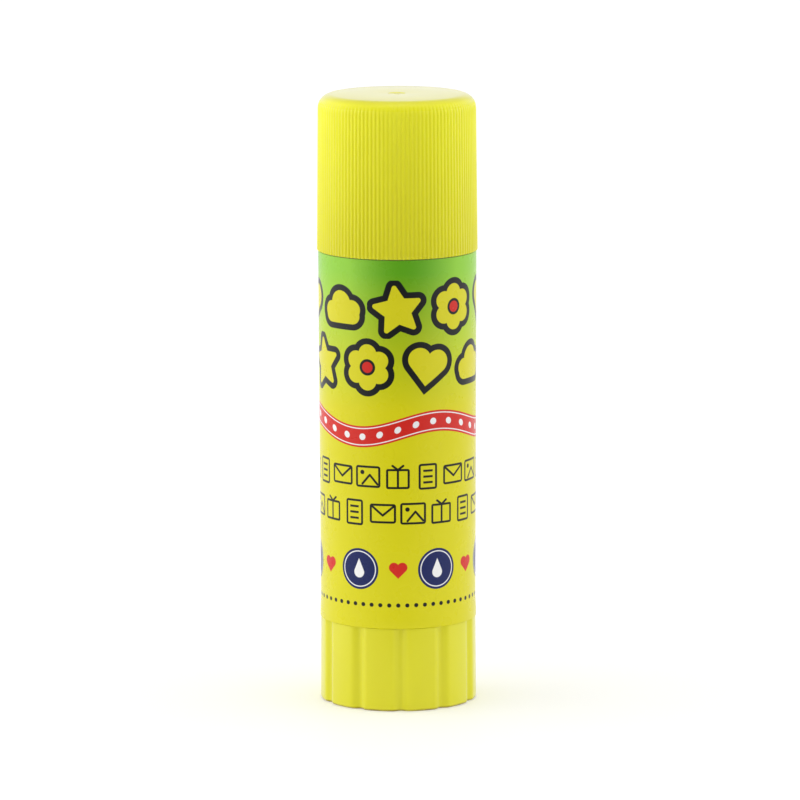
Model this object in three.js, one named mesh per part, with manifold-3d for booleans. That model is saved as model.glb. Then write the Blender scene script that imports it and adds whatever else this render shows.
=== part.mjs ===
// A glue stick of the 36 gram size, in millimetres with +Z up. It stands on z = 0 and its axis is the Z axis.
// The knob turns the spindle, the spindle's left-hand screw lifts the carrier, and the carrier lifts the glue.
import * as THREE from 'three';
import { mergeVertices } from 'three/addons/utils/BufferGeometryUtils.js';
import Module from 'manifold-3d';

const wasm = await Module();
wasm.setup();

// Heights along the axis, from the table up
const knobHeight = 15.7;
const bodyLength = 69.6;
const neckLength = 22.5;
const capHeadroom = 5.4;
const capTopWall = 1.6;

// Clearances
const turningGap = 0.2;
const slidingGap = 0.2;
const seatGap = 0.15;
const skirtGap = 0.3;
const threadGap = 0.3;
const pressGap = 0.05;
const castGap = 0.1;
const labelGap = 0.05;

// How far a rib, boss or web is sunk into the wall that it grows from
const joinDepth = 0.4;

// Barrel
const boreRadius = 12.3;
const bodyWall = 2.05;
const bodyFlare = 0.26;
const footBeadProud = 0.2;
const footBeadHeight = 1.1;
const footBeadLand = 0.55;
const floorRise = 1.1;
const floorThickness = 1.6;
const skirtLength = 7.5;
const skirtWall = 1.2;
const neckWall = 1.15;
const neckTaper = 0.05;
const snapBeadProud = 0.15;
const snapBeadHeight = 1.6;
const snapBeadRise = 3.2;
const lipSeatDepth = 1.6;
const mouthChamfer = 0.15;
const guideRibCount = 4;
const guideRibDepth = 0.5;
const guideRibWidth = 1.2;
const guideRibStop = 3;

// Label
const labelThickness = 0.2;
const labelTrim = 0.1;
const labelSeam = 0.3;

// Knob
const fluteCount = 11;
const fluteDepth = 0.7;
const fluteAngle = THREE.MathUtils.degToRad(13);
const knobWall = 0.8;
const knobFloor = 1.6;
const knobDraft = 0.13;
const knobEdgeRound = 0.5;
const knobTopRound = 0.2;
const baseRimWidth = 3.4;
const baseRecessDepth = 0.8;
const bossWall = 1.4;
const knobWebCount = 6;
const knobWebThickness = 1;

// Spindle
const rodRadius = 2.3;
const threadDepth = 1.1;
const threadPitch = 4;
const threadRootWidth = 2.2;
const threadCrestWidth = 0.9;
const threadRunOut = 1.2;
const threadFaintest = 0.05;
const rodFillet = 0.7;
const rodTipChamfer = 0.6;
const rodOverrun = 1;
const journalRadius = 4.8;
const flangeRadius = 8;
const flangeThickness = 1.2;
const tailWidth = 6.4;
const tailLength = 8;
const tailEndGap = 0.5;

// Carrier
const carrierRestGap = 0.5;
const carrierStop = 16;
const carrierHeight = 7.5;
const carrierFloor = 1.8;
const carrierRimWall = 1.2;
const nutWall = 1.5;
const nutHeight = 6.8;
const finCount = 4;
const finThickness = 1;
const finHeight = 2.2;

// Glue
const glueBelowMouth = 4;
const glueOverRod = 2;
const glueEdge = 0.5;

// Cap
const capWall = 1.03;
const capEdgeFit = 0.35;
const capTopFit = 0.15;
const capSkirtLength = 8;
const capDraft = 0.28;
const capRibCount = 120;
const capRibDepth = 0.25;
const capRibCrestShare = 0.5;
const capShoulderRadius = 2.65;
const capRibRunOut = THREE.MathUtils.degToRad(30);
const capInnerChamfer = 0.8;
const capLipWall = 0.45;
const capLipReach = 1;
const gateRadius = 1.6;
const gateDepth = 0.3;
const gateNubRadius = 0.5;
const gateNubBelow = 0.15;

// Points closer than this are one point
const mergeDistance = 1e-4;

// Facets to a turn
const roundSteps = 48;
const smallRoundSteps = 24;
const threadSteps = 12;
const arcSteps = 4;

// Places that follow from the sizes above
const footZ = knobHeight + turningGap;
const shoulderZ = footZ + bodyLength;
const mouthZ = shoulderZ + neckLength;
const capEdgeZ = shoulderZ + seatGap;
const ceilingZ = mouthZ + capHeadroom;
const topZ = ceilingZ + capTopWall;
const floorZ = footZ + floorRise;
const floorTopZ = floorZ + floorThickness;
const bossTopZ = floorZ - turningGap;
const flangeZ = floorTopZ + turningGap;
const flangeTopZ = flangeZ + flangeThickness;
const carrierZ = flangeTopZ + carrierRestGap;
const carrierTopZ = carrierZ + carrierHeight;
const carrierTravel = mouthZ - carrierStop - carrierTopZ;
const rodTopZ = carrierTopZ + carrierTravel + rodOverrun;
const glueTopZ = mouthZ - glueBelowMouth;

const bodyRadius = boreRadius + bodyWall;
const neckRadius = boreRadius + neckWall;
const guideRadius = boreRadius - guideRibDepth;
const slideRadius = boreRadius - slidingGap;
const labelSkin = labelGap + labelThickness;
const knobRadius = bodyRadius + labelSkin;
const knobCupRadius = knobRadius - fluteDepth - knobWall;
const skirtRadius = knobCupRadius - skirtGap;
const crestRadius = rodRadius + threadDepth;
const tailReach = tailWidth * Math.SQRT1_2;
const bossRadius = tailReach + bossWall;
const nutRadius = crestRadius + threadGap + nutWall;
const capLipRadius = slideRadius + slidingGap;
const lipSeatRadius = capLipRadius + capLipWall + slidingGap;
const capCrestRadius = neckRadius + capEdgeFit + capWall + capRibDepth;

// Turns a closed geometry into a solid that can be joined and cut.
function solidOf(geometry) {
  const bare = geometry.clone();
  bare.deleteAttribute('normal');
  bare.deleteAttribute('uv');
  const merged = mergeVertices(bare, mergeDistance);
  const corners = Array.from(merged.index.array);
  const faces = [];
  for (let i = 0; i < corners.length; i += 3) {
    const [a, b, c] = corners.slice(i, i + 3);
    if (a !== b && b !== c && c !== a) faces.push(a, b, c);
  }
  return new wasm.Manifold(new wasm.Mesh({
    numProp: 3,
    vertProperties: new Float32Array(merged.attributes.position.array),
    triVerts: new Uint32Array(faces),
  }));
}

// Turns a finished solid back into a geometry.
function geometryOf(solid) {
  const { vertProperties, triVerts } = solid.getMesh();
  const geometry = new THREE.BufferGeometry();
  geometry.setAttribute('position', new THREE.BufferAttribute(vertProperties, 3));
  geometry.setIndex(new THREE.BufferAttribute(triVerts, 1));
  geometry.computeVertexNormals();
  return geometry;
}

// Revolves a profile of [radius, height] points about Z. The profile climbs on its outer side.
// The first facet edge stands at the given share of a facet from the front.
function revolve(profile, steps = roundSteps, phase = 0) {
  const points = profile.map(([radius, height]) => new THREE.Vector2(radius, height));
  const lathe = new THREE.LatheGeometry(points, steps, (phase / steps) * 2 * Math.PI);
  return solidOf(lathe.rotateX(Math.PI / 2));
}

// Revolves a profile that closes on itself away from the axis.
function revolveRing(profile, steps = roundSteps) {
  return revolve([...profile, profile[0]], steps);
}

function disc(radius, lowZ, highZ, steps = roundSteps, phase = 0) {
  return revolve([[0, lowZ], [radius, lowZ], [radius, highZ], [0, highZ]], steps, phase);
}

// A block that reaches outwards from innerRadius to outerRadius, turned to the given angle from the front.
function radialBlock({ innerRadius, outerRadius, width, lowZ, highZ, angle }) {
  const block = new THREE.BoxGeometry(width, outerRadius - innerRadius, highZ - lowZ);
  block.translate(0, -(innerRadius + outerRadius) / 2, (lowZ + highZ) / 2);
  block.rotateZ(angle);
  return solidOf(block);
}

// Evenly spaced angles round the axis, the first at the given share of a step from the front.
function turns(count, shift = 0) {
  return Array.from({ length: count }, (_, i) => ((i + shift) / count) * 2 * Math.PI);
}

function closedSolid(positions, faces) {
  const geometry = new THREE.BufferGeometry();
  geometry.setAttribute('position', new THREE.Float32BufferAttribute(positions, 3));
  geometry.setIndex(faces);
  return solidOf(geometry);
}

// A solid of flat rings stacked up Z. Each ring has the outline's points, drawn in by the ring's own inset.
function stack(rings, outline) {
  const positions = [];
  const faces = [];
  const count = outline.length;
  for (const { z, inset } of rings) {
    for (const { angle, radius } of outline) {
      positions.push((radius - inset) * Math.sin(angle), -(radius - inset) * Math.cos(angle), z);
    }
  }
  for (let level = 0; level + 1 < rings.length; level += 1) {
    for (let i = 0; i < count; i += 1) {
      const near = level * count + i;
      const next = level * count + ((i + 1) % count);
      faces.push(near, next, near + count, next, next + count, near + count);
    }
  }
  const bottomCentre = positions.length / 3;
  const topRing = (rings.length - 1) * count;
  positions.push(0, 0, rings[0].z, 0, 0, rings[rings.length - 1].z);
  for (let i = 0; i < count; i += 1) {
    const next = (i + 1) % count;
    faces.push(bottomCentre, next, i);
    faces.push(bottomCentre + 1, topRing + i, topRing + next);
  }
  return closedSolid(positions, faces);
}

// The screw's helical ridge, left-handed, from lowZ to highZ, grown by the gap on every side.
// Its section is a trapezoid whose root is sunk into the rod, and where fade is set it fades out at both ends.
function helicalRidge({ lowZ, highZ, gap, fade }) {
  const steps = Math.ceil(((highZ - lowZ) / threadPitch) * threadSteps);
  const sunkRadius = rodRadius + gap - joinDepth;
  const positions = [];
  const faces = [];
  for (let i = 0; i <= steps; i += 1) {
    const climb = (i / threadSteps) * threadPitch;
    const fromEnd = Math.min(climb, (steps / threadSteps) * threadPitch - climb);
    const fullness = fade ? Math.min(1, fromEnd / threadRunOut) : 1;
    const crest = sunkRadius + (crestRadius + gap - sunkRadius) * Math.max(fullness, threadFaintest);
    const angle = (-i / threadSteps) * 2 * Math.PI;
    const z = lowZ + climb;
    const section = [
      [sunkRadius, -threadRootWidth / 2 - gap],
      [crest, -threadCrestWidth / 2 - gap],
      [crest, threadCrestWidth / 2 + gap],
      [sunkRadius, threadRootWidth / 2 + gap],
    ];
    for (const [radius, rise] of section) {
      positions.push(radius * Math.sin(angle), -radius * Math.cos(angle), z + rise);
    }
  }
  for (let i = 0; i < steps; i += 1) {
    for (let k = 0; k < 4; k += 1) {
      const a = i * 4 + k;
      const b = i * 4 + ((k + 1) % 4);
      faces.push(a, b, a + 4, b, b + 4, a + 4);
    }
  }
  const last = steps * 4;
  faces.push(0, 2, 1, 0, 3, 2);
  faces.push(last, last + 1, last + 2, last, last + 2, last + 3);
  return closedSolid(positions, faces);
}

// The outside of the barrel's body from foot to shoulder, moved out by the offset and trimmed at both ends.
function bodyOutline(offset, trim) {
  const beadRadius = bodyRadius + footBeadProud + offset;
  return [
    [beadRadius, footZ + trim],
    [beadRadius, footZ + footBeadLand],
    [bodyRadius + offset, footZ + footBeadHeight],
    [bodyRadius + bodyFlare + offset, shoulderZ - trim],
  ];
}

// An arc of [x, y] points about a centre, from the start angle (0 is straight out along +x) to straight up.
function roundedCorner(centreX, centreY, radius, start = 0) {
  return Array.from({ length: arcSteps + 1 }, (_, i) => {
    const angle = start + (i / arcSteps) * (Math.PI / 2 - start);
    return [centreX + radius * Math.cos(angle), centreY + radius * Math.sin(angle)];
  });
}

function makeBarrel() {
  const neckTopRadius = neckRadius - neckTaper;
  const beadZ = shoulderZ + snapBeadRise;
  const floorBore = journalRadius + turningGap;
  const tube = revolveRing([
    [skirtRadius - skirtWall, footZ - skirtLength],
    [skirtRadius, footZ - skirtLength],
    [skirtRadius, footZ],
    ...bodyOutline(0, 0),
    [neckRadius, shoulderZ],
    [neckRadius, beadZ],
    [neckRadius + snapBeadProud, beadZ + snapBeadHeight / 2],
    [neckRadius, beadZ + snapBeadHeight],
    [neckTopRadius, mouthZ - mouthChamfer],
    [neckTopRadius - mouthChamfer, mouthZ],
    [lipSeatRadius, mouthZ],
    [lipSeatRadius, mouthZ - lipSeatDepth],
    [boreRadius, mouthZ - lipSeatDepth],
    [boreRadius, floorTopZ],
    [floorBore, floorTopZ],
    [floorBore, floorZ],
    [skirtRadius - skirtWall, floorZ],
  ]);
  return turns(guideRibCount).reduce((solid, angle) => solid.add(radialBlock({
    innerRadius: guideRadius,
    outerRadius: boreRadius + joinDepth,
    width: guideRibWidth,
    lowZ: floorTopZ - joinDepth,
    highZ: mouthZ - guideRibStop,
    angle,
  })), tube);
}

function makeLabel() {
  const inside = bodyOutline(labelGap, labelTrim);
  const outside = bodyOutline(labelSkin, labelTrim);
  const wrap = revolveRing([...outside, ...inside.reverse()]);
  const seam = radialBlock({
    innerRadius: boreRadius,
    outerRadius: bodyRadius + bodyWall,
    width: labelSeam,
    lowZ: 0,
    highZ: topZ,
    angle: Math.PI,
  });
  return wrap.subtract(seam);
}

// The knob's outline: round lobes with a flute between them, drawn in by a cosine that is deepest at its middle.
function flutedOutline() {
  const lobe = (2 * Math.PI) / fluteCount - fluteAngle;
  const flute = [-0.5, -0.25, 0, 0.25].map((share) => ({
    turn: share * fluteAngle,
    radius: knobRadius - (fluteDepth / 2) * (1 + Math.cos(2 * Math.PI * share)),
  }));
  const crown = [0, 0.25, 0.5, 0.75].map((share) => ({
    turn: fluteAngle / 2 + share * lobe,
    radius: knobRadius,
  }));
  return turns(fluteCount).flatMap((start) => (
    [...flute, ...crown].map(({ turn, radius }) => ({ angle: start + turn, radius }))
  ));
}

function makeKnob() {
  const floorInside = baseRecessDepth + knobFloor;
  const draftAt = (z) => knobDraft * (1 - z / knobHeight);
  const lowEdge = roundedCorner(0, 0, knobEdgeRound).reverse().map(([across, up]) => ({
    z: knobEdgeRound - up,
    inset: knobEdgeRound - across - draftAt(knobEdgeRound - up),
  }));
  const highEdge = [
    { z: knobHeight - knobTopRound, inset: -draftAt(knobHeight - knobTopRound) },
    { z: knobHeight, inset: knobTopRound },
  ];
  const boss = disc(bossRadius, floorInside - joinDepth, bossTopZ, smallRoundSteps);
  const socketWidth = tailWidth + 2 * pressGap;
  const socketDepth = tailLength + tailEndGap;
  const socket = new THREE.BoxGeometry(socketWidth, socketWidth, 2 * socketDepth).translate(0, 0, bossTopZ);
  let knob = stack([...lowEdge, ...highEdge], flutedOutline())
    .subtract(disc(knobCupRadius, floorInside, topZ))
    .subtract(disc(knobRadius - baseRimWidth, -knobFloor, baseRecessDepth))
    .add(boss);
  for (const angle of turns(knobWebCount, 0.5)) {
    knob = knob.add(radialBlock({
      innerRadius: bossRadius - joinDepth,
      outerRadius: knobCupRadius + joinDepth,
      width: knobWebThickness,
      lowZ: floorInside - joinDepth,
      highZ: footZ - skirtLength - turningGap * 2,
      angle,
    }));
  }
  return knob.subtract(solidOf(socket));
}

function makeSpindle() {
  const tail = new THREE.BoxGeometry(tailWidth, tailWidth, tailLength + turningGap);
  tail.translate(0, 0, bossTopZ + turningGap - (tailLength + turningGap) / 2);
  const foot = revolve([
    [0, bossTopZ],
    [journalRadius, bossTopZ],
    [journalRadius, flangeZ],
    [flangeRadius, flangeZ],
    [flangeRadius, flangeTopZ],
    [0, flangeTopZ],
  ], smallRoundSteps);
  const rod = revolve([
    [0, flangeZ],
    [rodRadius + rodFillet, flangeZ],
    [rodRadius + rodFillet, flangeTopZ],
    [rodRadius, flangeTopZ + rodFillet],
    [rodRadius, rodTopZ - rodTipChamfer],
    [rodRadius - rodTipChamfer, rodTopZ],
    [0, rodTopZ],
  ], threadSteps, 0.5);
  const ridge = helicalRidge({
    lowZ: flangeTopZ + threadRootWidth,
    highZ: rodTopZ - threadRootWidth,
    gap: 0,
    fade: true,
  });
  return foot.add(rod).add(solidOf(tail)).add(ridge);
}

function makeCarrier() {
  const rimInside = slideRadius - carrierRimWall;
  const cup = revolve([
    [0, carrierZ],
    [slideRadius, carrierZ],
    [slideRadius, carrierTopZ],
    [rimInside, carrierTopZ],
    [rimInside, carrierZ + carrierFloor],
    [nutRadius, carrierZ + carrierFloor],
    [nutRadius, carrierZ + nutHeight],
    [0, carrierZ + nutHeight],
  ]);
  const threadStart = flangeTopZ + threadRootWidth;
  const nutThread = helicalRidge({
    lowZ: threadStart - threadPitch,
    highZ: threadStart + 2 * carrierHeight,
    gap: threadGap,
    fade: false,
  });
  let carrier = cup;
  for (const angle of turns(finCount, 0.5)) {
    carrier = carrier.add(radialBlock({
      innerRadius: nutRadius - joinDepth,
      outerRadius: rimInside + joinDepth,
      width: finThickness,
      lowZ: carrierZ + carrierFloor - joinDepth,
      highZ: carrierZ + carrierFloor + finHeight,
      angle,
    }));
  }
  for (const angle of turns(guideRibCount)) {
    carrier = carrier.subtract(radialBlock({
      innerRadius: guideRadius - slidingGap,
      outerRadius: boreRadius + slidingGap,
      width: guideRibWidth + 2 * slidingGap,
      lowZ: floorTopZ,
      highZ: mouthZ,
      angle,
    }));
  }
  const core = disc(rodRadius + threadGap, flangeZ, glueTopZ, threadSteps, 0.5);
  return carrier.subtract(core.add(nutThread));
}

function makeGlue() {
  const footRadius = slideRadius - carrierRimWall - castGap;
  const holeRadius = nutRadius + castGap;
  const lowZ = carrierZ + carrierFloor + castGap;
  const block = revolve([
    [0, rodTopZ + glueOverRod],
    [crestRadius + threadGap, rodTopZ + glueOverRod],
    [crestRadius + threadGap, carrierZ + nutHeight + castGap],
    [holeRadius, carrierZ + nutHeight + castGap],
    [holeRadius, lowZ],
    [footRadius, lowZ],
    [footRadius, carrierTopZ + castGap],
    [slideRadius, carrierTopZ + castGap],
    [slideRadius, glueTopZ - glueEdge],
    [slideRadius - glueEdge, glueTopZ],
    [0, glueTopZ],
  ]);
  let glue = block;
  for (const angle of turns(guideRibCount)) {
    glue = glue.subtract(radialBlock({
      innerRadius: guideRadius - slidingGap,
      outerRadius: boreRadius + slidingGap,
      width: guideRibWidth + 2 * slidingGap,
      lowZ: carrierTopZ,
      highZ: topZ,
      angle,
    }));
  }
  for (const angle of turns(finCount, 0.5)) {
    glue = glue.subtract(radialBlock({
      innerRadius: rodRadius,
      outerRadius: slideRadius,
      width: finThickness + 2 * castGap,
      lowZ: carrierZ,
      highZ: carrierZ + carrierFloor + finHeight + castGap,
      angle,
    }));
  }
  return glue;
}

// The cap's outline: for each rib a sharp groove, then the two sides of its flat crest.
function ribbedOutline() {
  const step = (2 * Math.PI) / capRibCount;
  const crest = [0.5 - capRibCrestShare / 2, 0.5 + capRibCrestShare / 2];
  return turns(capRibCount).flatMap((groove) => [
    { angle: groove, radius: capCrestRadius - capRibDepth },
    ...crest.map((share) => ({ angle: groove + share * step, radius: capCrestRadius })),
  ]);
}

function makeCap() {
  const innerEdge = neckRadius + capEdgeFit;
  const innerTop = neckRadius + capTopFit;
  const shoulderZLow = topZ - capShoulderRadius;
  const shoulderCentre = capCrestRadius - capDraft - capShoulderRadius;
  const ribbed = stack([
    { z: capEdgeZ, inset: 0 },
    { z: topZ + capDraft, inset: capDraft },
  ], ribbedOutline());
  const envelope = revolve([
    [0, capEdgeZ - seatGap],
    [capCrestRadius + capWall, capEdgeZ - seatGap],
    [capCrestRadius + capWall, shoulderZLow - capWall],
    [shoulderCentre + capShoulderRadius, shoulderZLow],
    ...roundedCorner(shoulderCentre, shoulderZLow, capShoulderRadius, capRibRunOut),
    [0, topZ],
  ], capRibCount / 2, 0.25);
  const cavity = revolve([
    [0, capEdgeZ - capWall],
    [innerEdge, capEdgeZ - capWall],
    [innerEdge, capEdgeZ + capSkirtLength],
    [innerTop, ceilingZ - capInnerChamfer],
    [innerTop - capInnerChamfer, ceilingZ],
    [0, ceilingZ],
  ]);
  const lip = revolveRing([
    [capLipRadius, mouthZ - capLipReach],
    [capLipRadius + capLipWall, mouthZ - capLipReach],
    [capLipRadius + capLipWall, ceilingZ + joinDepth],
    [capLipRadius, ceilingZ + joinDepth],
  ]);
  const gate = disc(gateRadius, topZ - gateDepth, topZ + capTopWall, smallRoundSteps);
  const nub = disc(gateNubRadius, topZ - gateDepth - joinDepth, topZ - gateNubBelow, smallRoundSteps / 2);
  return ribbed.intersect(envelope).subtract(cavity).add(lip).subtract(gate).add(nub);
}

function part(name, solid, colour, roughness) {
  const material = new THREE.MeshStandardMaterial({ color: colour, roughness, metalness: 0 });
  const mesh = new THREE.Mesh(geometryOf(solid), material);
  mesh.name = name;
  return mesh;
}

const lemonPlastic = 0xe3df45;
const glueStick = new THREE.Group();
glueStick.add(
  part('barrel', makeBarrel(), lemonPlastic, 0.4),
  part('label', makeLabel(), 0x9ccb3b, 0.35),
  part('knob', makeKnob(), lemonPlastic, 0.38),
  part('spindle', makeSpindle(), 0xeeeeea, 0.45),
  part('carrier', makeCarrier(), 0xeeeeea, 0.45),
  part('glue', makeGlue(), 0xf4f1e4, 0.3),
  part('cap', makeCap(), lemonPlastic, 0.38),
);

export default glueStick;
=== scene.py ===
"""The looks of a twist-up glue stick: fine meshes, lemon plastic, a printed film and a white studio.

Profiles are drawn in millimetres as (distance from the axis, height). A profile climbs on the outer side of
its piece. Angles are counted from the front, counter-clockwise seen from above.
"""

import math

import bpy
import numpy as np
from mathutils import Color, Matrix, Vector


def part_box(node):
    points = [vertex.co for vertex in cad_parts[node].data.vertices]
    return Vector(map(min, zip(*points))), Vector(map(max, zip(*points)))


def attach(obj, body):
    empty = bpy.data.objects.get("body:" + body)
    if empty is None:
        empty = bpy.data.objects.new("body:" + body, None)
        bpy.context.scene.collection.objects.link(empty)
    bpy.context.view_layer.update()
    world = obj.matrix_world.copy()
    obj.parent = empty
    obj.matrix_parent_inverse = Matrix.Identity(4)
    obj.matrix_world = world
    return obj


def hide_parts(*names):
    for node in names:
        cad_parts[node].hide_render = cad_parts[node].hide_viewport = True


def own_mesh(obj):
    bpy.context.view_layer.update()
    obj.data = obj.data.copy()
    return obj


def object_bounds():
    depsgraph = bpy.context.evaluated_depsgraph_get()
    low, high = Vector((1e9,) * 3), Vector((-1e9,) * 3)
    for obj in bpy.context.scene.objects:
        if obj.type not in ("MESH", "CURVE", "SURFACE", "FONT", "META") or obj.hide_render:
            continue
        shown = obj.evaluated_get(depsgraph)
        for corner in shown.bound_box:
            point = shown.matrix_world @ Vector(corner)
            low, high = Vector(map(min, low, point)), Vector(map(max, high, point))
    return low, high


MM = 0.001
DECIMETRE = 100
TURN = 2 * math.pi

# Columns of faces round a plain round piece, along the film, and to each rib or flute
round_columns = 480
film_columns = 400
rib_columns = 8
flute_columns = 32
groove_power = 1.5

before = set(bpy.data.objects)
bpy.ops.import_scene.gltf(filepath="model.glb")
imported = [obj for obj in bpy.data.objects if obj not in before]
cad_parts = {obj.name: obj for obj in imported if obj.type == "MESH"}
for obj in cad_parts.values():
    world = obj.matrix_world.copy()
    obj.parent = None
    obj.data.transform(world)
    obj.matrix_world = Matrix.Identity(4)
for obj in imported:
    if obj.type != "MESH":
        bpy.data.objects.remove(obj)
cad_low, cad_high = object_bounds()


def reach_and_heights(node):
    """A node's largest distance from the axis, its lowest height and its highest, in millimetres."""
    low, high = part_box(node)
    return high.x / MM, low.z / MM, high.z / MM


cap_reach, cap_edge_z, top_z = reach_and_heights("cap")
_, label_foot_z, label_top_z = reach_and_heights("label")
knob_reach, _, boss_top_z = reach_and_heights("knob")
_, skirt_z, mouth_z = reach_and_heights("barrel")
_, glue_foot_z, glue_top_z = reach_and_heights("glue")

# Barrel
bore_radius = 12.3
body_wall = 2.05
body_flare = 0.26
foot_bead = 0.12
foot_bead_height = 1.2
foot_bead_run_out = 3.5
label_trim = 0.1
foot_z = label_foot_z - label_trim
shoulder_z = label_top_z + label_trim
floor_low_z = 17.0
floor_high_z = 18.6
floor_hole_radius = 5.0
skirt_radius = 12.8
skirt_wall = 1.2
neck_radius = 13.45
neck_taper = 0.05
snap_bead_proud = 0.15
snap_bead_rise = 3.2
snap_bead_height = 1.6
lip_seat_radius = 12.95
lip_seat_depth = 1.6
guide_rib_count = 4
guide_rib_depth = 0.5
guide_rib_width = 1.2
guide_rib_stop = 3.0
guide_rib_ramp = 0.4
guide_rib_blend = 0.15
body_radius = bore_radius + body_wall

# Label
label_gap = 0.05
label_skin = 0.25
label_hairline = 0.02
seam_width = 0.3
label_radius = body_radius + label_skin

# Cap
cap_draft = 0.28
cap_rib_count = 120
cap_rib_depth = 0.14
cap_rib_blend = 0.9
cap_rib_fade_low = 1.7
cap_rib_fade_high = 0.9
cap_shoulder = 2.65
cap_wall_radius = 13.8
cap_wall_taper = 0.2
cap_skirt_height = 8.0
cap_ceiling_z = 113.4
cap_ceiling_bevel = 0.8
cap_lip_radius = 12.3
cap_lip_wall = 0.45
cap_lip_reach = 1.0
gate_radius = 1.6
gate_slope = 0.1
gate_depth = 0.08
gate_nub_radius = 0.5

# Knob
knob_height = 15.84
knob_cup_radius = 13.1
flute_count = 11
flute_depth = 0.7
flute_angle = math.radians(15.5)
flute_shift = math.radians(1.6)
flute_blend = 1.3
base_rim_width = 3.4
recess_depth = 0.8
knob_floor = 1.6
web_count = 6
web_width = 1.0
web_sink = 0.3
web_gap = 0.4
boss_radius = 5.93
socket_reach = 3.25
socket_depth = 8.5

# Glue
glue_gap = 0.2
glue_rim_gap = 1.3
glue_rim_height = 5.7
glue_nut_radius = 5.5
glue_nut_height = 5.0
glue_hole_radius = 3.7
glue_hole_stop = 13.0
glue_sink = 0.3


def rounded(corners, steps=6):
    """Rounds a profile's corners. A corner is (radius, height) or (radius, height, fillet).

    A fillet is a true arc, drawn as a rational quadratic curve from one tangent point to the other. The
    corner pulls on it with a weight equal to the sine of half the angle between the two sides.
    """
    spots = np.array([corner[:2] for corner in corners], float)
    share = np.linspace(0, 1, steps + 1)[:, None]
    run = []
    for i, corner in enumerate(corners):
        spot = spots[i]
        if len(corner) < 3:
            run.append(spot[None])
            continue
        before = spots[i - 1] - spot
        after = spots[(i + 1) % len(spots)] - spot
        before /= np.linalg.norm(before)
        after /= np.linalg.norm(after)
        half = math.acos(float(np.clip(before @ after, -1, 1))) / 2
        tangent = corner[2] / math.tan(half)
        first, last = (1 - share) ** 2, share ** 2
        middle = 2 * share * (1 - share) * math.sin(half)
        arc = first * (spot + before * tangent) + middle * spot + last * (spot + after * tangent)
        run.append(arc / (first + middle + last))
    return np.vstack(run)


def smooth_step(low, high, value):
    """0 below low, 1 above high, and 3 t squared minus 2 t cubed between them."""
    share = np.clip((value - low) / (high - low), 0, 1)
    return share * share * (3 - 2 * share)


def evenly(count):
    """Angles that divide a turn evenly, the first at the front."""
    return np.arange(count) * (TURN / count)


def wound(profile, angles, bend=None):
    """The grid of points of a profile turned about the axis: (radius sin a, -radius cos a, height).

    bend(radius, height, angle) gives each point's own radius where the piece isn't round.
    """
    radius, height, angle = profile[:, :1], profile[:, 1:], angles[None, :]
    reach = radius + 0 * angle if bend is None else bend(radius, height, angle)
    return np.stack([reach * np.sin(angle), -reach * np.cos(angle), height + 0 * angle], axis=-1)


def mesh_piece(name, points, faces, sharp=50):
    """A smooth piece from points in millimetres. Edges that turn by more than sharp degrees stay sharp."""
    mesh = bpy.data.meshes.new(name)
    mesh.from_pydata((np.asarray(points) * MM).tolist(), [], faces)
    mesh.shade_smooth()
    mesh.set_sharp_from_angle(angle=math.radians(sharp))
    piece = bpy.data.objects.new(name, mesh)
    bpy.context.scene.collection.objects.link(piece)
    return piece


def quads(number, around=True, along=False):
    """Quads between neighbours in a grid of point numbers, closed around its columns or along its rows."""
    beside = np.roll(number, -1, axis=1)
    above = np.roll(number, -1, axis=0)
    across = np.roll(above, -1, axis=1)
    cells = np.stack([number, beside, across, above], axis=-1)
    cells = cells if along else cells[:-1]
    cells = cells if around else cells[:, :-1]
    return cells.reshape(-1, 4).tolist()


def turned_surface(profile, count, bend=None):
    """A closed surface whose profile starts and ends on the axis, where its end rows are single points."""
    grid = wound(profile, evenly(count), bend)
    rows = len(profile) - 2
    number = np.arange(rows * count).reshape(rows, count)
    start, end = rows * count, rows * count + 1
    points = np.vstack([grid[1:-1].reshape(-1, 3), grid[0, :1], grid[-1, :1]])
    faces = quads(number)
    faces += [[start, right, left] for left, right in zip(number[0], np.roll(number[0], -1))]
    faces += [[end, left, right] for left, right in zip(number[-1], np.roll(number[-1], -1))]
    return points, faces


def ring_surface(profile, count, bend=None):
    """A closed surface whose profile closes on itself away from the axis, like a tube with a wall."""
    grid = wound(profile, evenly(count), bend)
    number = np.arange(grid.shape[0] * count).reshape(grid.shape[0], count)
    return grid.reshape(-1, 3), quads(number, along=True)


def spokes(count, inner, outer, width, low, high):
    """Upright webs that run out from the axis, each a closed box, the first half a step from the front.

    A point is its reach times the outward direction, plus half the width times the sideways one, plus its
    height.
    """
    angle = (evenly(count) + TURN / count / 2)[:, None, None]
    out = np.concatenate([np.sin(angle), -np.cos(angle), 0 * angle], axis=-1)
    side = np.concatenate([np.cos(angle), np.sin(angle), 0 * angle], axis=-1)
    ring = np.array([(inner, -1, 0), (outer, -1, 0), (outer, 1, 0), (inner, 1, 0)], float)
    ring[:, 1] *= width / 2
    box = np.vstack([ring + (0, 0, low), ring + (0, 0, high)])
    points = box[:, :1] * out + box[:, 1:2] * side + box[:, 2:] * np.array([0, 0, 1.0])
    ends = [(3, 2, 1, 0), (4, 5, 6, 7)]
    sides = [(0, 1, 5, 4), (1, 2, 6, 5), (2, 3, 7, 6), (3, 0, 4, 7)]
    corner = np.array(ends + sides)
    faces = corner[None] + 8 * np.arange(count)[:, None, None]
    return points.reshape(-1, 3), faces.reshape(-1, 4).tolist()


def joined(*surfaces):
    """Several surfaces as one set of points and faces."""
    points = np.vstack([surface[0] for surface in surfaces])
    starts = np.cumsum([0] + [len(surface[0]) for surface in surfaces])
    faces = []
    for start, surface in zip(starts.tolist(), surfaces):
        faces += [[corner + start for corner in face] for face in surface[1]]
    return points, faces


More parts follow.
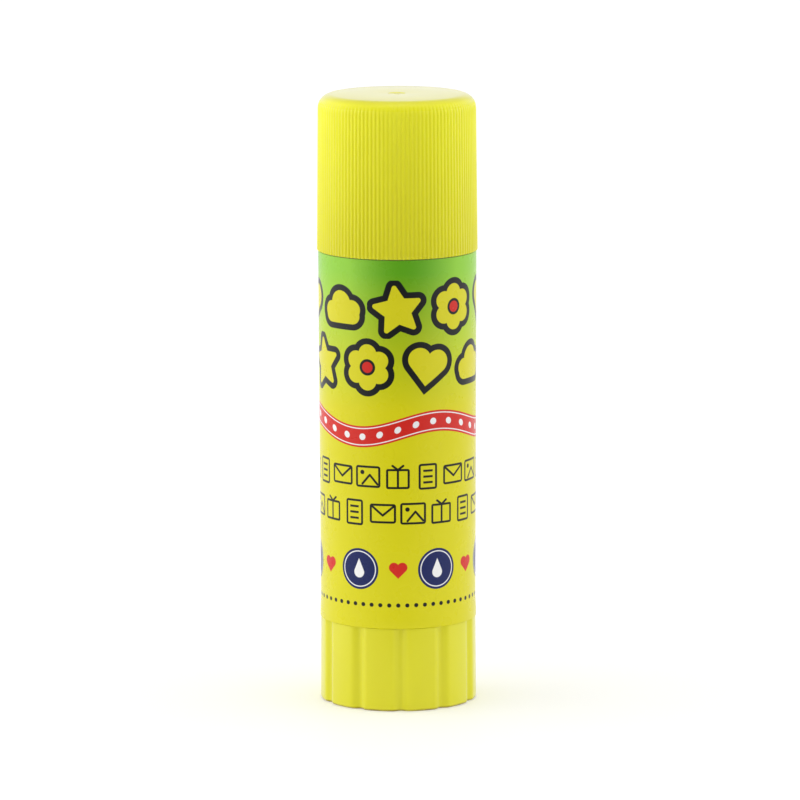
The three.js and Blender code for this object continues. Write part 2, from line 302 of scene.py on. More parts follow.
def from_repeat(angle, count):
    """Angle to the nearest of that many evenly spaced places, which start at the front."""
    step = TURN / count
    return (angle + step / 2) % step - step / 2


def make_cap():
    """A push-on cap: upright ribs outside, a rounded shoulder, a gate mark on top, a seal lip inside.

    Each rib's groove is a raised cosine to the power 1.5, taken from the radius. It keeps its depth down the
    side, fades out over the shoulder's arc and narrows to nothing across the lower edge.
    """
    side_top = cap_reach - cap_draft
    lip_outer = cap_lip_radius + cap_lip_wall
    lip_z = mouth_z - cap_lip_reach
    gate_floor_z = top_z - gate_depth
    nub_z = top_z - gate_depth / 3
    profile = rounded([
        (0, cap_ceiling_z),
        (cap_lip_radius, cap_ceiling_z, 0.25),
        (cap_lip_radius, lip_z, 0.15),
        (lip_outer, lip_z, 0.15),
        (lip_outer, cap_ceiling_z - 0.1, 0.1),
        (cap_wall_radius - cap_wall_taper, cap_ceiling_z - cap_ceiling_bevel, 0.4),
        (cap_wall_radius, cap_edge_z + cap_skirt_height, 2.0),
        (cap_wall_radius, cap_edge_z, 0.15),
        (cap_reach, cap_edge_z, 0.12),
        (side_top, top_z, cap_shoulder),
        (gate_radius, top_z, 0.1),
        (gate_radius - gate_slope, gate_floor_z, 0.1),
        (gate_nub_radius, gate_floor_z, 0.03),
        (gate_nub_radius, nub_z, 0.03),
        (0, nub_z),
    ])

    def ribbed(radius, height, angle):
        groove = np.cos(from_repeat(angle, cap_rib_count) * cap_rib_count / 2) ** 2
        run_out = 1 - smooth_step(top_z - cap_rib_fade_low, top_z - cap_rib_fade_high, height)
        side = np.clip((radius - cap_wall_radius) / cap_rib_blend, 0, 1)
        return radius - cap_rib_depth * side * run_out * groove ** groove_power

    surface = turned_surface(profile, cap_rib_count * rib_columns, ribbed)
    return mesh_piece("cap_shell", *surface, sharp=75)


def make_knob():
    """The turning knob: a cup with soft flutes, a boss with a square socket, webs and a recess underneath.

    A flute is a raised cosine as wide as flute_angle, to the power 1.5, so that it fades into the side. The
    socket's radius is its half width over the larger of |sin a| and |cos a|.
    """
    base_inner = knob_reach - base_rim_width
    floor_inside = recess_depth + knob_floor
    profile = rounded([
        (0, recess_depth),
        (base_inner, recess_depth, 0.3),
        (base_inner, 0, 0.25),
        (knob_reach, 0, 0.5),
        (label_radius, knob_height, 0.18),
        (knob_cup_radius, knob_height, 0.15),
        (knob_cup_radius, floor_inside, 0.6),
        (boss_radius, floor_inside, 0.4),
        (boss_radius, boss_top_z, 0.2),
        (socket_reach, boss_top_z),
        (socket_reach, boss_top_z - socket_depth),
        (0, boss_top_z - socket_depth),
    ])

    def fluted(radius, height, angle):
        turn = np.abs(from_repeat(angle - flute_shift, flute_count))
        flute = np.where(turn < flute_angle / 2, (1 + np.cos(TURN * turn / flute_angle)) / 2, 0)
        side = np.clip((radius - knob_cup_radius) / flute_blend, 0, 1)
        square = radius / np.maximum(np.abs(np.sin(angle)), np.abs(np.cos(angle)))
        return np.where(radius == socket_reach, square, radius - flute_depth * side * flute ** groove_power)

    cup = turned_surface(profile, flute_count * flute_columns, fluted)
    webs = spokes(
        web_count, boss_radius - web_sink, knob_cup_radius + web_sink, web_width,
        floor_inside - web_sink, skirt_z - web_gap,
    )
    return mesh_piece("knob_cup", *joined(cup, webs))


def body_line(offset, low):
    """The outside of the barrel's body from a low end to the shoulder, moved out by the offset."""
    return [
        (body_radius + foot_bead + offset, low),
        (body_radius + foot_bead + offset, foot_z + foot_bead_height, 8.0),
        (body_radius + offset, foot_z + foot_bead_run_out, 12.0),
        (body_radius + body_flare + offset, shoulder_z),
    ]


def make_barrel():
    """The tube under the label: skirt, floor with its bearing hole, neck with a snap bead, and guide ribs.

    A guide rib is a flat-topped bump on the bore, one at each quarter turn, that stops below the mouth.
    """
    bead_z = shoulder_z + snap_bead_rise
    neck_top = neck_radius - neck_taper
    rib_top_z = mouth_z - guide_rib_stop
    rib_full_z = rib_top_z - guide_rib_ramp
    profile = rounded([
        (skirt_radius - skirt_wall, skirt_z, 0.2),
        (skirt_radius, skirt_z, 0.2),
        (skirt_radius, foot_z, 0.2),
        *body_line(0, foot_z),
        (neck_radius, shoulder_z, 0.2),
        (neck_radius, bead_z, 0.6),
        (neck_radius + snap_bead_proud, bead_z + snap_bead_height / 2, 0.8),
        (neck_radius, bead_z + snap_bead_height, 0.6),
        (neck_top, mouth_z, 0.15),
        (lip_seat_radius, mouth_z, 0.12),
        (lip_seat_radius, mouth_z - lip_seat_depth, 0.15),
        (bore_radius, mouth_z - lip_seat_depth, 0.15),
        (bore_radius, rib_top_z),
        (bore_radius, rib_full_z),
        (bore_radius, floor_high_z, 0.3),
        (floor_hole_radius, floor_high_z, 0.15),
        (floor_hole_radius, floor_low_z, 0.15),
        (skirt_radius - skirt_wall, floor_low_z, 0.3),
    ], steps=5)

    def guided(radius, height, angle):
        sideways = np.abs(from_repeat(angle, guide_rib_count)) * bore_radius
        half_width = guide_rib_width / 2
        rib = 1 - smooth_step(half_width - guide_rib_blend, half_width + guide_rib_blend, sideways)
        above_floor = (radius > floor_hole_radius + 1) & (height > floor_high_z - 0.01)
        in_bore = above_floor & (radius < bore_radius + 0.01)
        low = 1 - smooth_step(rib_full_z, rib_top_z, height)
        return radius - guide_rib_depth * rib * low * in_bore

    return mesh_piece("barrel_tube", *ring_surface(profile, round_columns, guided))


def make_label():
    """The printed film round the barrel: two offsets of the barrel's outline, with an open seam at the back.

    Its UV map holds the distance round the film from the front and the height, both in decimetres.
    """
    film_foot_z = knob_height + label_hairline
    outside = rounded(body_line(label_skin, film_foot_z))
    inside = rounded(body_line(label_gap, film_foot_z))[::-1]
    rows = len(outside)
    half_seam = seam_width / 2 / label_radius
    angles = np.linspace(half_seam - math.pi, math.pi - half_seam, film_columns)
    grid = wound(np.vstack([outside, inside]), angles)
    number = np.arange(2 * rows * film_columns).reshape(2 * rows, film_columns)
    faces = quads(number, around=False, along=True)
    partner = number[::-1]
    for column, order in ((0, 1), (film_columns - 1, -1)):
        outer, inner = number[:rows, column], partner[:rows, column]
        strip = np.stack([outer[:-1], outer[1:], inner[1:], inner[:-1]], axis=-1)
        faces += strip[:, ::order].tolist()
    piece = mesh_piece("label_film", grid.reshape(-1, 3), faces)
    angle = np.arctan2(grid[..., 0], -grid[..., 1])
    angle[:, 0], angle[:, -1] = -math.pi, math.pi
    flat = np.stack([angle * label_radius, grid[..., 2]], axis=-1).reshape(-1, 2) / DECIMETRE
    corners = np.zeros(len(piece.data.loops), np.int32)
    piece.data.loops.foreach_get("vertex_index", corners)
    layer = piece.data.uv_layers.new(name="wrap")
    layer.uv.foreach_set("vector", flat[corners].astype(np.float32).ravel())
    return piece


def make_glue():
    """The glue: a waxy block with a soft edge and a shrunken middle, drawn in where the guide ribs run."""
    radius_in_bore = bore_radius - glue_gap
    foot_radius = radius_in_bore - glue_rim_gap
    rim_top_z = glue_foot_z + glue_rim_height
    nut_top_z = glue_foot_z + glue_nut_height
    hole_top_z = mouth_z - glue_hole_stop
    profile = rounded([
        (0, hole_top_z),
        (glue_hole_radius, hole_top_z, 0.4),
        (glue_hole_radius, nut_top_z, 0.3),
        (glue_nut_radius, nut_top_z, 0.3),
        (glue_nut_radius, glue_foot_z, 0.3),
        (foot_radius, glue_foot_z, 0.3),
        (foot_radius, rim_top_z, 0.2),
        (radius_in_bore, rim_top_z, 0.3),
        (radius_in_bore, glue_top_z, 0.9),
        (9.5, glue_top_z, 1.5),
        (6.0, glue_top_z - 0.22, 2.5),
        (0, glue_top_z - glue_sink),
    ], steps=8)

    def grooved(radius, height, angle):
        sideways = np.abs(from_repeat(angle, guide_rib_count)) * bore_radius
        groove = 1 - smooth_step(guide_rib_width / 2 + 0.1, guide_rib_width / 2 + 0.5, sideways)
        deep = np.clip(radius - radius_in_bore + guide_rib_depth + 1, 0, 1)
        above_carrier = height > rim_top_z - 0.1
        return radius - guide_rib_depth * groove * deep * above_carrier

    return mesh_piece("glue_block", *turned_surface(profile, round_columns, grooved))


class Field:
    """A number that varies over a surface, held by a node's output. Sums on it add Math nodes."""

    def __init__(self, tree, socket):
        self.tree = tree
        self.socket = socket

    def apply(self, operation, *others, clamp=False):
        node = self.tree.nodes.new("ShaderNodeMath")
        node.operation = operation
        node.use_clamp = clamp
        for place, value in zip(node.inputs, (self, *others)):
            if isinstance(value, Field):
                self.tree.links.new(value.socket, place)
            else:
                place.default_value = value
        return Field(self.tree, node.outputs[0])

    def __add__(self, other):
        return self.apply("ADD", other)

    def __sub__(self, other):
        return self.apply("SUBTRACT", other)

    def __mul__(self, other):
        return self.apply("MULTIPLY", other)

    def __abs__(self):
        return self.apply("ABSOLUTE")

    def least(self, other):
        return self.apply("MINIMUM", other)

    def most(self, other):
        return self.apply("MAXIMUM", other)

    def wrapped(self, width):
        """The same number with whole widths taken off, from minus half a width to half a width."""
        return self.apply("WRAP", width / 2, -width / 2)

    def between(self, low, high):
        """0 at low, 1 at high, in a straight line and clamped."""
        return self.apply("MULTIPLY_ADD", 1 / (high - low), -low / (high - low), clamp=True)


def length(x, y):
    """Distance of (x, y) from the origin."""
    tree = x.tree
    spot = tree.nodes.new("ShaderNodeCombineXYZ")
    tree.links.new(x.socket, spot.inputs[0])
    tree.links.new(y.socket, spot.inputs[1])
    size = tree.nodes.new("ShaderNodeVectorMath")
    size.operation = "LENGTH"
    tree.links.new(spot.outputs[0], size.inputs[0])
    return Field(tree, size.outputs["Value"])


def turned(x, y, degrees):
    """(x, y) seen from axes turned by that angle."""
    cosine, sine = math.cos(math.radians(degrees)), math.sin(math.radians(degrees))
    return (x * cosine).apply("ADD", y * sine), (y * cosine) - x * sine


def disc(x, y, radius):
    """Signed distance to a round spot: length minus radius."""
    return length(x, y) - radius


def oblong(x, y, width, height, corner=0.0):
    """Signed distance to a rectangle with round corners: inside it, the larger of its two side distances."""
    across = abs(x) - (width / 2 - corner)
    up = abs(y) - (height / 2 - corner)
    outside = length(across.most(0), up.most(0))
    return outside + across.most(up).least(0) - corner


def stroke(x, y, start, end, width):
    """Signed distance to a line with round ends: to the segment's nearest point, less half a width."""
    run_x, run_y = end[0] - start[0], end[1] - start[1]
    size = run_x ** 2 + run_y ** 2
    along = ((x - start[0]) * (run_x / size)).apply("ADD", (y - start[1]) * (run_y / size), clamp=True)
    return length(x - start[0] - along * run_x, y - start[1] - along * run_y) - width / 2


def folded(x, y, count):
    """Distance from the centre, and the angle to the nearest of count arms, the first of which points up."""
    share = x.apply("ARCTAN2", y) * (count / TURN)
    return length(x, y), share.apply("PINGPONG", 0.5) * (TURN / count)


def star(x, y, count, outer, inner):
    """Signed distance to a star: distance to one folded edge, which runs from a point to the next notch."""
    reach, fold = folded(x, y, count)
    run_x = inner * math.sin(math.pi / count)
    run_y = inner * math.cos(math.pi / count) - outer
    across, up = reach * fold.apply("SINE"), reach * fold.apply("COSINE") - outer
    away = stroke(across, up, (0, 0), (run_x, run_y), 0)
    return away * (up * run_x - across * run_y).apply("SIGN")


def blossom(x, y, count, petal, spread):
    """Signed distance to a ring of round petals: distance to the nearest petal's centre, less its radius."""
    reach, fold = folded(x, y, count)
    squared = reach * reach - reach * fold.apply("COSINE") * (2 * spread)
    return (squared + spread ** 2).apply("SQRT") - petal


def heart(x, y, size):
    """Signed distance to a heart: a round lobe on each side and a wedge whose lines touch the lobes.

    The wedge ends steeply where it meets the lobes, so that an outline round the heart keeps its width there.
    """
    lobe_x, lobe_y, lobe = 0.46 * size, 0.30 * size, 0.56 * size
    tip_y = -0.95 * size
    side = abs(x)
    away = math.atan2(lobe_y - tip_y, lobe_x)
    lean = away - math.asin(lobe / math.hypot(lobe_x, lobe_y - tip_y))
    along_x, along_y = math.cos(lean), math.sin(lean)
    line = side * along_y - (y - tip_y) * along_x
    limit = ((side - lobe_x) * along_x + (y - lobe_y) * along_y) * 8
    wedge = line.most(limit).most((y - lobe_y) * 8)
    return disc(side - lobe_x, y - lobe_y, lobe).least(wedge)


def cloud(x, y, size):
    """Signed distance to a cloud: three round puffs over a flat oblong base."""
    base = oblong(x, y + 0.40 * size, 2.1 * size, 0.76 * size, 0.38 * size)
    middle = disc(x + 0.05 * size, y - 0.16 * size, 0.60 * size)
    left = disc(x + 0.66 * size, y + 0.22 * size, 0.44 * size)
    right = disc(x - 0.62 * size, y + 0.10 * size, 0.46 * size)
    return base.least(middle).least(left).least(right)


def drop(x, y, size):
    """Signed distance to a drop: a round foot joined to a point above by the lines that touch it."""
    foot = 0.5 * size
    side = abs(x)
    lean = math.asin(foot / (1.25 * size))
    line = side * math.cos(lean) + (y - 0.95 * size) * math.sin(lean)
    limit = (y + 0.3 * size) * -1 + side * math.tan(lean)
    return disc(x, y + 0.3 * size, foot).least(line.most(limit))


def paint(red, green, blue):
    """A colour given as it looks on a screen, 0 to 255, turned into the scene's linear light."""
    return (*Color((red / 255, green / 255, blue / 255)).from_srgb_to_scene_linear(), 1)


def blend_colours(tree, share, first, second):
    """Mixes two colours, each a socket or a fixed colour, by a share from 0 to 1."""
    node = tree.nodes.new("ShaderNodeMix")
    node.data_type = "RGBA"
    for place, value in zip((node.inputs[0], node.inputs[6], node.inputs[7]), (share.socket, first, second)):
        if isinstance(value, bpy.types.NodeSocket):
            tree.links.new(value, place)
        else:
            place.default_value = value
    return node.outputs[2]


def new_finish(name, **settings):
    """A material, its tree and its shader, whose own sockets are set here, such as Roughness=0.4."""
    material = bpy.data.materials.new(name)
    material.use_nodes = True
    tree = material.node_tree
    shader = tree.nodes["Principled BSDF"]
    for socket, value in settings.items():
        shader.inputs[socket.replace("_", " ")].default_value = value
    return material, tree, shader


def speckle(tree, size, detail=2.0, stretch=1.0):
    """Noise from 0 to 1 with lumps about as large as size, in metres, drawn out upwards by stretch."""
    place = tree.nodes.new("ShaderNodeTexCoord")
    mapping = tree.nodes.new("ShaderNodeMapping")
    mapping.inputs["Scale"].default_value = (1, 1, 1 / stretch)
    noise = tree.nodes.new("ShaderNodeTexNoise")
    noise.inputs["Scale"].default_value = 1 / size
    noise.inputs["Detail"].default_value = detail
    tree.links.new(place.outputs["Object"], mapping.inputs["Vector"])
    tree.links.new(mapping.outputs["Vector"], noise.inputs["Vector"])
    return Field(tree, noise.outputs[0])


def relief(tree, shader, height, depth):
    """Raises the surface by height, from 0 to 1, times depth in metres."""
    bump = tree.nodes.new("ShaderNodeBump")
    bump.inputs["Distance"].default_value = depth
    tree.links.new(height.socket, bump.inputs["Height"])
    tree.links.new(bump.outputs[0], shader.inputs["Normal"])


def height_in_mm(tree):
    """The height of each point of the stick, in millimetres."""
    place = tree.nodes.new("ShaderNodeTexCoord")
    parts = tree.nodes.new("ShaderNodeSeparateXYZ")
    tree.links.new(place.outputs["Object"], parts.inputs[0])
    return Field(tree, parts.outputs["Z"]) * (1 / MM)


def spot_on_axis(tree, radius, lowest):
    """1 on the axis down to a height and out to a radius, both in millimetres, and 0 outside."""
    place = tree.nodes.new("ShaderNodeTexCoord")
    parts = tree.nodes.new("ShaderNodeSeparateXYZ")
    tree.links.new(place.outputs["Object"], parts.inputs[0])
    x, y, z = (Field(tree, part) * (1 / MM) for part in parts.outputs)
    return length(x, y).between(radius + 0.05, radius - 0.05) * z.between(lowest, lowest + 0.1)


def moulded_plastic(name, light, deep, gloss_low, gloss_high, paler=None, polished=None, matt=None, worn=None,
                    **settings):
    """Injection-moulded plastic: flow streaks in its colour, finer patches of gloss and a faint skin texture.

    paler gives the two heights between which painted light lifts the colour from the deep one
    to the light one, as light from above would, and a third from which that painted light fades out again.
    polished gives the two heights between which it grows smoother. matt gives the radius and the lowest
    height of a rougher spot on the axis. worn gives the height below which a standing edge
    gets painted shade, a dark brown that stands for the shadow at its foot, and is rougher there.
    """
    material, tree, shader = new_finish(name, **settings)
    share = speckle(tree, 9 * MM, 3.0, stretch=3.0).between(0.35, 0.65)
    # Painted light: the colour turns lighter up the side, as light from above would make it, and fades back
    # just under the top face; flow streaks keep a small share
    if paler:
        low, high, end = paler
        height = height_in_mm(tree)
        streaks, way_back = 0.15, 0.9
        rise = height.between(low, high) * height.between(end + way_back, end)
        share = share * streaks + rise * (1 - streaks)
    colour = blend_colours(tree, share, deep, light)
    patches = speckle(tree, 2.2 * MM, 3.0)
    gloss = patches.apply("MULTIPLY_ADD", gloss_high - gloss_low, gloss_low)
    # Painted shade: a patchy dark brown along the standing edge, where the shadow falls at its foot, made a
    # little rougher there
    if worn:
        painted_shade_share = height_in_mm(tree).between(worn, worn / 3) * patches.between(0.1, 0.6)
        painted_shade_colour = paint(150, 128, 30)
        colour = blend_colours(tree, painted_shade_share, colour, painted_shade_colour)
        gloss = gloss + painted_shade_share * 0.2
    tree.links.new(colour, shader.inputs["Base Color"])
    if polished:
        smoothing, smoothest = 0.9, 0.12
        gloss = gloss + (gloss * -smoothing + smoothest) * height_in_mm(tree).between(*polished)
    if matt:
        roughening = 0.12
        gloss = gloss + spot_on_axis(tree, *matt) * roughening
    tree.links.new(gloss.socket, shader.inputs["Roughness"])
    skin = speckle(tree, 0.35 * MM, 2.0)
    ripple = speckle(tree, 3.5 * MM, 1.0)
    relief(tree, shader, skin * 0.04 + ripple, 0.005 * MM)
    return material


def lemon_plastic(name, light, deep, glow, shine, **places):
    """Satin lemon-yellow polypropylene. Glow is how much light it scatters inside, shine its clear skin."""
    return moulded_plastic(
        name, light, deep, 0.44, 0.56, **places,
        IOR=1.4, Subsurface_Weight=glow, Subsurface_Scale=0.9 * MM, Subsurface_Radius=(1.0, 0.95, 0.12),
        Sheen_Weight=0.6, Sheen_Roughness=0.35, Coat_Weight=shine, Coat_Roughness=0.25,
    )


def natural_plastic():
    """Uncoloured polypropylene of the working parts inside, milky and slightly greasy."""
    return moulded_plastic(
        "natural plastic", paint(238, 238, 232), paint(228, 229, 223), 0.38, 0.5,
        IOR=1.49, Subsurface_Weight=0.3, Subsurface_Scale=1.2 * MM, Subsurface_Radius=(1.0, 0.98, 0.9),
    )


def waxy_glue():
    """Solid glue: milky and soft, with fine drag marks up its side and a damp sheen."""
    material, tree, shader = new_finish(
        "waxy glue", IOR=1.46, Subsurface_Weight=0.8, Subsurface_Scale=2.5 * MM,
        Subsurface_Radius=(1.0, 0.9, 0.75), Coat_Weight=0.25, Coat_Roughness=0.3,
    )
    clouds = speckle(tree, 5 * MM, 3.0)
    colour = blend_colours(tree, clouds.between(0.3, 0.7), paint(246, 243, 230), paint(238, 233, 215))
    tree.links.new(colour, shader.inputs["Base Color"])
    gloss = speckle(tree, 1.2 * MM, 2.0).apply("MULTIPLY_ADD", 0.2, 0.3)
    tree.links.new(gloss.socket, shader.inputs["Roughness"])
    drag = speckle(tree, 0.5 * MM, 3.0, stretch=12.0)
    relief(tree, shader, drag * 0.6 + speckle(tree, 1.6 * MM, 2.0), 0.06 * MM)
    return material


class Ink:
    """Layers of print on the film. Each layer is laid down where its signed distance is below zero."""

    edge = 0.07

    def __init__(self, tree, ground):
        self.tree = tree
        self.colour = ground

    def over(self, colour, distance):
        share = distance.apply("MULTIPLY_ADD", -1 / self.edge, 0.5, clamp=True)
        self.colour = blend_colours(self.tree, share, self.colour, colour)


black_ink = paint(16, 19, 18)
white_ink = paint(246, 246, 246)
red_ink = paint(214, 38, 28)
navy_ink = paint(14, 30, 92)
yellow_ink = paint(222, 215, 26)
green_ink = paint(94, 170, 18)
# A paler green, painted where the film turns towards the side light
painted_side_light_green = paint(150, 212, 60)
circumference = TURN * label_radius

# Heights of the print's rows, and the heights between which the ground turns from yellow to green
shapes_foot_z = 59.8
ribbon_z = 53.6
pictures_foot_z = 34.3
badges_z = 27.0
beads_z = 20.3
fade_low_z = 57
fade_high_z = 83


def bubble_shapes(ink, x, z):
    """Two rows of plump yellow shapes with heavy black outlines, the lower row set half a place along.

    Four shapes take turns: star, flower, heart and cloud. The rows share their nodes, because the height is
    wrapped into one row and the place along the film is shifted by the row's number.
    """
    pitch = circumference / 8
    row_height = 11.0
    row = (z - shapes_foot_z).apply("DIVIDE", row_height).apply("FLOOR")
    height = (z - (shapes_foot_z + row_height / 2)) - row * row_height
    along = (x + row * (2.5 * pitch)).wrapped(4 * pitch)
    star_x, star_y = turned(along + 1.5 * pitch, height + 0.2, 8)
    bloom_x, bloom_y = along + 0.5 * pitch, height
    heart_x, heart_y = turned(along - 0.5 * pitch, height - 0.1, -9)
    cloud_x, cloud_y = along - 1.5 * pitch, height
    star_rounding = 0.45
    stars = star(star_x, star_y, count=5, outer=4.3, inner=2.1) - star_rounding
    blossoms = blossom(bloom_x, bloom_y, count=6, petal=1.75, spread=2.6)
    hearts = heart(heart_x, heart_y, size=3.9)
    clouds = cloud(cloud_x, cloud_y, size=4.0)
    shapes = stars.least(blossoms).least(hearts).least(clouds)
    rows_only = abs(z - (shapes_foot_z + row_height)) - row_height
    outline, eye, eye_outline = 1.15, 1.05, 0.5
    ink.over(black_ink, (shapes - outline).most(rows_only))
    ink.over(yellow_ink, shapes.most(rows_only))
    ink.over(black_ink, disc(bloom_x, bloom_y, eye + eye_outline).most(rows_only))
    ink.over(red_ink, disc(bloom_x, bloom_y, eye).most(rows_only))


def wavy_ribbon(ink, x, z):
    """A red ribbon that waves round the film, with white spots along its middle."""
    waves, swing, half_width = 3, 1.5, 2.0
    spots, spot_radius = 27, 0.62
    line_place, line_half_width = 1.55, 0.1
    wave = (x * (waves * TURN / circumference)).apply("SINE") * swing
    across = z - ribbon_z - wave
    ink.over(red_ink, abs(across) - half_width)
    ink.over(white_ink, abs(abs(across) - line_place) - line_half_width)
    ink.over(white_ink, disc(x.wrapped(circumference / spots), across, spot_radius))


def line_pictures(ink, x, z):
    """Two rows of small line pictures of things that glue joins: sheet, envelope, picture and parcel."""
    pitch = circumference / 16
    row_height = 6.9
    row = (z - pictures_foot_z).apply("DIVIDE", row_height).apply("FLOOR")
    height = (z - (pictures_foot_z + row_height / 2)) - row * row_height
    along = (x + row * (1.5 * pitch)).wrapped(4 * pitch)
    line = 0.42
    places = [along + (1.5 - i) * pitch for i in range(4)]

    sheet = abs(oblong(places[0], height, 3.3, 4.5, 0.3)) - line / 2
    for rise in (-1.1, 0.0, 1.1):
        sheet = sheet.least(oblong(places[0], height - rise, 1.9, line))

    envelope = abs(oblong(places[1], height, 4.6, 3.3, 0.3)) - line / 2
    envelope = envelope.least(stroke(abs(places[1]), height, (0, -0.35), (2.2, 1.5), line))

    picture = abs(oblong(places[2], height, 4.5, 3.7, 0.3)) - line / 2
    picture = picture.least(disc(places[2] + 1.1, height - 0.8, 0.42))
    picture = picture.least(stroke(abs(places[2] - 0.4), height, (0, 0.35), (1.5, -1.4), line))

    parcel = abs(oblong(places[3], height + 0.3, 4.0, 3.4, 0.2)) - line / 2
    parcel = parcel.least(oblong(places[3], height + 0.3, line, 3.4))
    parcel = parcel.least(stroke(abs(places[3]), height, (0.1, 1.5), (1.0, 2.2), line))

    rows_only = abs(z - (pictures_foot_z + row_height)) - row_height
    ink.over(black_ink, sheet.least(envelope).least(picture).least(parcel).most(rows_only))


def badges(ink, x, z):
    """Round navy spots, each with a white drop, and small red hearts between them."""
    height = z - badges_z
    pitch = circumference / 6
    badge, ring, ring_half_width = 3.9, 3.35, 0.1
    spot = (x + pitch / 2).wrapped(pitch)
    ink.over(navy_ink, disc(spot, height, badge))
    ink.over(white_ink, abs(disc(spot, height, ring)) - ring_half_width)
    ink.over(white_ink, drop(spot, height, size=2.1))
    ink.over(red_ink, heart(x.wrapped(pitch), height, size=1.7))


def bead_line(ink, x, z):
    """A fine row of black spots near the foot."""
    beads, bead_radius = 54, 0.4
    ink.over(black_ink, disc(x.wrapped(circumference / beads), z - beads_z, bead_radius))


def printed_film():
    """Glossy film over print: green at the top fades to yellow, with motifs drawn as signed distances.

    Three times round the film the green is painted paler, which is painted side light, and it is deepest just
    right of the front, where the studio gives the least light.
    """
    material, tree, shader = new_finish("printed film", IOR=1.36)
    place = tree.nodes.new("ShaderNodeUVMap")
    place.uv_map = "wrap"
    parts = tree.nodes.new("ShaderNodeSeparateXYZ")
    tree.links.new(place.outputs[0], parts.inputs[0])
    x, z = Field(tree, parts.outputs[0]) * DECIMETRE, Field(tree, parts.outputs[1]) * DECIMETRE
    fade = z.between(fade_low_z, fade_high_z)
    mottle = speckle(tree, 6 * MM, 2.0)
    ground = blend_colours(tree, mottle, paint(224, 217, 14), paint(221, 214, 11))
    # Painted side light: the green is paler where the film turns towards the sides, three times round, and
    # deepest just right of the front
    side = ((x - 1.4) * (3 / label_radius)).apply("COSINE").between(1.0, -0.6)
    green = blend_colours(tree, side, green_ink, painted_side_light_green)
    ground = blend_colours(tree, fade, ground, green)
    ink = Ink(tree, ground)
    bubble_shapes(ink, x, z)
    wavy_ribbon(ink, x, z)
    line_pictures(ink, x, z)
    badges(ink, x, z)
    bead_line(ink, x, z)
    tree.links.new(ink.colour, shader.inputs["Base Color"])
    gloss = speckle(tree, 3 * MM, 2.0).apply("MULTIPLY_ADD", 0.08, 0.24)
    tree.links.new(gloss.socket, shader.inputs["Roughness"])
    relief(tree, shader, speckle(tree, 14 * MM, 1.0, stretch=3.0), 0.05 * MM)
    return material


def place_camera():
    """A long lens 1.2 m away, 9.4 degrees above the stick's middle, aimed and rolled a hair off it."""
    middle = (cad_low + cad_high) / 2
    distance = 1.2
    elevation = math.radians(9.4)
    aside, below, lean = 0.43 * MM, 0.62 * MM, math.radians(-0.16)
    back = Vector((0, -math.cos(elevation), math.sin(elevation)))
    up = Vector((0, math.sin(elevation), math.cos(elevation)))
    aim = middle + Vector((aside, 0, 0)) - up * below
    data = bpy.data.cameras.new("camera")
    data.lens, data.sensor_width = 286.6, 36
    data.clip_start, data.clip_end = 0.05, 30
    camera = bpy.data.objects.new("camera", data)
    bpy.context.scene.collection.objects.link(camera)
    roll = Matrix.Rotation(lean, 4, "Z")
    facing = back.to_track_quat("Z", "Y").to_matrix().to_4x4()
    camera.matrix_world = Matrix.Translation(aim + back * distance) @ facing @ roll
    bpy.context.scene.camera = camera


def soft_box(name, spot, width, height, brightness):
    """A large soft light that faces the middle of the stick and isn't seen by the camera.

    Its brightness is that of a white surface in the picture, and its power is pi times brightness times area.
    """
    data = bpy.data.lights.new(name, "AREA")
    data.shape, data.size, data.size_y = "RECTANGLE", width, height
    data.energy = math.pi * brightness * width * height
    light = bpy.data.objects.new(name, data)
    light.location = spot
    middle = Vector((0, 0, 0.055))
    towards = middle - Vector(spot)
    light.rotation_mode = "QUATERNION"
    light.rotation_quaternion = towards.to_track_quat("-Z", "Y")
    light.visible_camera = False
    bpy.context.scene.collection.objects.link(light)


def room_glow(tree, front, side, back, top, overhead):
    """How bright the room is in each direction (x, y, z).

    It is front + side times x squared + back times the twelfth power of (1 + y) / 2 + top times z + overhead
    times the twelfth power of z above the table.
    """
    place = tree.nodes.new("ShaderNodeTexCoord")
    parts = tree.nodes.new("ShaderNodeSeparateXYZ")
    tree.links.new(place.outputs["Generated"], parts.inputs[0])
    x, y, z = (Field(tree, part) for part in parts.outputs)
    behind = (y * 0.5 + 0.5).apply("POWER", 12)
    above = z.most(0).apply("POWER", 12)
    return x * x * side + behind * back + z * top + above * overhead + front


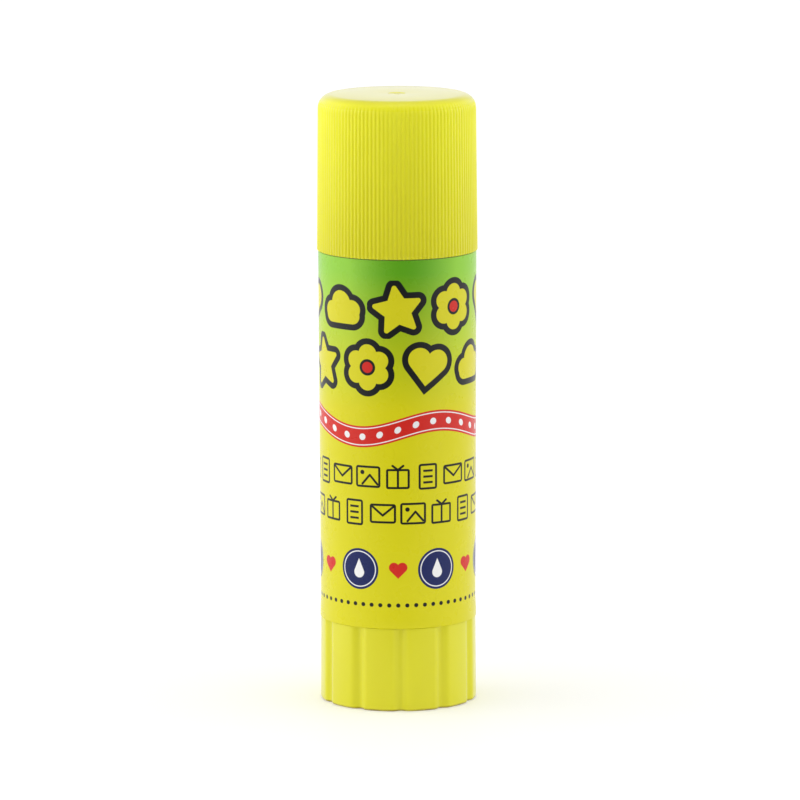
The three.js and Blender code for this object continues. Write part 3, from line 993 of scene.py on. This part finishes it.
def white_studio():
    """A white table in a light tent that is dimmer in front of the stick, and a soft box on its left.

    The tent is white where the camera looks straight at it. Nothing bright stands opposite the stick's front,
    so its colours stay deep there and grow paler towards both sides.
    """
    world = bpy.data.worlds.new("room")
    world.use_nodes = True
    tree = world.node_tree
    room = tree.nodes["Background"]
    room.inputs["Color"].default_value = (1, 1, 1, 1)
    glow = room_glow(tree, front=0.335, side=1.16, back=0.62, top=0.2, overhead=1.35)
    tree.links.new(glow.socket, room.inputs["Strength"])
    white = tree.nodes.new("ShaderNodeBackground")
    white.inputs["Color"].default_value = (1, 1, 1, 1)
    white.inputs["Strength"].default_value = 1.05
    seen = tree.nodes.new("ShaderNodeMixShader")
    path = tree.nodes.new("ShaderNodeLightPath")
    tree.links.new(path.outputs["Is Camera Ray"], seen.inputs[0])
    tree.links.new(room.outputs[0], seen.inputs[1])
    tree.links.new(white.outputs[0], seen.inputs[2])
    tree.links.new(seen.outputs[0], tree.nodes["World Output"].inputs["Surface"])
    bpy.context.scene.world = world
    soft_box("left box", (-0.80, -0.07, 0.28), width=1.0, height=0.56, brightness=0.6)

    left, right, near, far = -0.75, 0.75, -0.13, 2.7
    corners = [(left, near, 0), (right, near, 0), (right, far, 0), (left, far, 0)]
    floor = mesh_piece("floor", np.array(corners) / MM, [[0, 1, 2, 3]])
    material, tree, shader = new_finish("pale floor", Roughness=0.6, Specular_IOR_Level=0.2)
    tone = blend_colours(tree, speckle(tree, 0.4), (0.88, 0.88, 0.88, 1), (0.86, 0.86, 0.86, 1))
    tree.links.new(tone, shader.inputs["Base Color"])
    shader.inputs["Emission Color"].default_value = (1, 1, 1, 1)
    shader.inputs["Emission Strength"].default_value = 0.2
    floor.data.materials.append(material)
    bpy.context.scene.view_settings.view_transform = "Standard"


def dress(piece, material, body, node):
    """Gives a piece its material, sets it on its body and lets it stand for a node of the frame."""
    piece.data.materials.append(material)
    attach(piece, body)
    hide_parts(node)


place_camera()
white_studio()

# The knob's foot gets painted shade below half a millimetre
lemon = lemon_plastic(
    "lemon plastic", paint(226, 222, 8), paint(223, 218, 5), glow=0.35, shine=0.4,
    worn=0.5,
)
# The cap's colour gets painted light that grows towards its top
cap_lemon_with_painted_light = lemon_plastic(
    "lemon plastic with painted top light", paint(247, 244, 36), paint(222, 217, 10), glow=0.75, shine=0.0,
    paler=(cap_edge_z, top_z - 4, top_z - 0.9),
    polished=(top_z - cap_shoulder, top_z - cap_shoulder / 2),
    matt=(gate_radius, top_z - 0.2),
)
dress(make_cap(), cap_lemon_with_painted_light, "cap", "cap")
dress(make_knob(), lemon, "knob", "knob")
dress(make_barrel(), lemon, "barrel", "barrel")
dress(make_label(), printed_film(), "barrel", "label")
glue = make_glue()
dress(glue, waxy_glue(), "carrier", "glue")
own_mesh(glue)

natural = natural_plastic()
for node in ("spindle", "carrier"):
    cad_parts[node].data.materials.clear()
    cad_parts[node].data.materials.append(natural)
